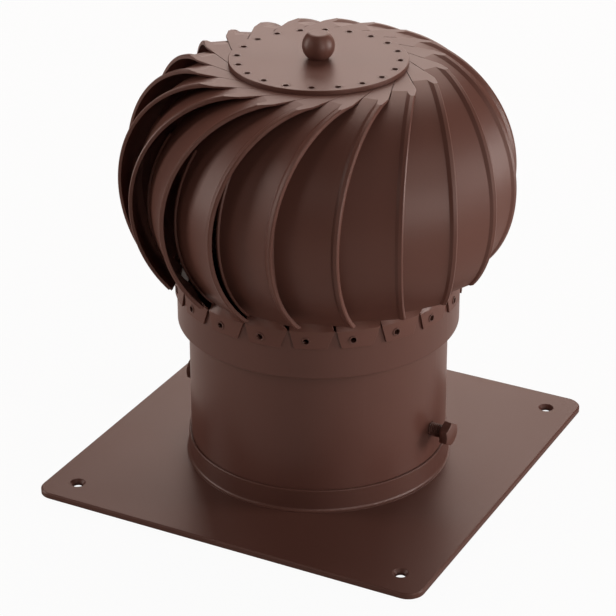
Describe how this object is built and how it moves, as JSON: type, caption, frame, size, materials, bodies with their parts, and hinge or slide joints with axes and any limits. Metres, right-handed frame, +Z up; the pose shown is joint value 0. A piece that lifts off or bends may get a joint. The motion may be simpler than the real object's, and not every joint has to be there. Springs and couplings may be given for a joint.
{
  "type": "rotating chimney cowl",
  "caption": "Wind-driven rotating cowl: a bladed turbine on a bearing shaft above a round flue pipe with a square, bolted roof plate.",
  "frame": {"origin": "centre of the square plate's underside", "axes": "+Z up along the turbine's axis, X and Y along the plate's sides; the picture looks from -Y, turned towards +X"},
  "size_m": [0.25, 0.25, 0.2711],
  "materials": {
    "brown_coat": "satin",
    "brown_fasteners": "satin",
    "frame_black": "satin",
    "brass": "satin",
    "steel": "satin"
  },
  "bodies": {
    "base": {"base_plate": "brown_coat", "socket_collar": "brown_coat", "flue_pipe": "brown_coat", "clamp_bolts": "brown_fasteners", "threaded_inserts": "brass", "spider_ring": "frame_black", "spider_cross": "frame_black", "spider_rivets": "steel", "shaft": "steel", "tail_washer": "steel", "tail_nut": "steel", "top_nut": "steel", "inner_spacer": "steel", "upper_inner_ring": "steel", "lower_inner_ring": "steel"},
    "rotor": {"top_disc": "brown_coat", "top_rivets": "brown_fasteners", "ball_knob": "brown_coat", "knob_stud": "steel", "knob_nut": "steel", "bearing_hub": "frame_black", "upper_outer_ring": "steel", "lower_outer_ring": "steel", "outer_spacer": "steel", "hub_circlip": "steel", "skirt_ring": "brown_coat", "ring_rivets": "brown_fasteners", "blade_01": "brown_coat", "blade_02": "brown_coat", "blade_03": "brown_coat", "blade_04": "brown_coat", "blade_05": "brown_coat", "blade_06": "brown_coat", "blade_07": "brown_coat", "blade_08": "brown_coat", "blade_09": "brown_coat", "blade_10": "brown_coat", "blade_11": "brown_coat", "blade_12": "brown_coat", "blade_13": "brown_coat", "blade_14": "brown_coat", "blade_15": "brown_coat", "blade_16": "brown_coat", "blade_17": "brown_coat", "blade_18": "brown_coat", "blade_19": "brown_coat", "blade_20": "brown_coat"},
    "upper_roll": {"upper_balls": "steel", "upper_cage": "brass"},
    "lower_roll": {"lower_balls": "steel", "lower_cage": "brass"}
  },
  "joints": [
    {"name": "rotor_turn", "type": "hinge", "parent": "base", "child": "rotor", "pos_m": [0, 0, 0.2], "axis": [0, 0, 1], "continuous": true},
    {"name": "upper_cage_turn", "type": "hinge", "parent": "base", "child": "upper_roll", "pos_m": [0, 0, 0.2285], "axis": [0, 0, 1], "continuous": true},
    {"name": "lower_cage_turn", "type": "hinge", "parent": "base", "child": "lower_roll", "pos_m": [0, 0, 0.2085], "axis": [0, 0, 1], "continuous": true}
  ],
  "couplings": [
    {"joint": "upper_cage_turn", "follows": "rotor_turn", "ratio": 0.63},
    {"joint": "lower_cage_turn", "follows": "rotor_turn", "ratio": 0.63}
  ]
}
